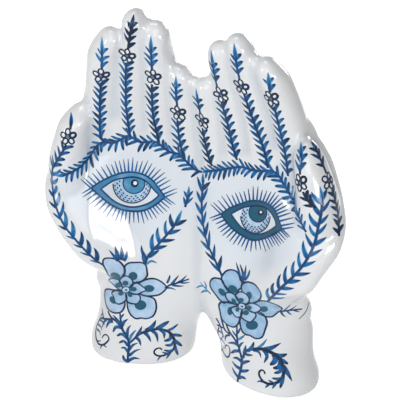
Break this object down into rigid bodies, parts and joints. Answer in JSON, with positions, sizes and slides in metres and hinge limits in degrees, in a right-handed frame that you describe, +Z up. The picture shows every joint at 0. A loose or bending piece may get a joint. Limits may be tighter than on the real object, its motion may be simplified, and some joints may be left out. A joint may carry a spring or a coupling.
{
  "type": "ceramic hands sculpture",
  "caption": "Free-standing hollow ceramic sculpture of upright open hands joined along the little fingers, glazed white and painted with blue eyes, vines and flowers.",
  "frame": {"origin": "on the table under the middle of the sculpture, in the plane of the seam between the hands to within 2 mm", "axes": "+Z up towards the fingertips, -Y the way the palms face, +X towards the hand on the viewer's right"},
  "size_m": [0.2091, 0.0734, 0.2645],
  "materials": {
    "glaze": "glossy clear glaze over white slip and cobalt painting",
    "clay": "unglazed fired clay, matte",
    "felt": "pressed felt"
  },
  "bodies": {
    "root": {"left_hand": "glaze", "left_wrist_base": "clay", "left_pad_inner": "felt", "left_pad_outer": "felt", "left_pad_front": "felt", "right_hand": "glaze", "right_wrist_base": "clay", "right_pad_inner": "felt", "right_pad_outer": "felt", "right_pad_front": "felt"}
  },
  "joints": []
}
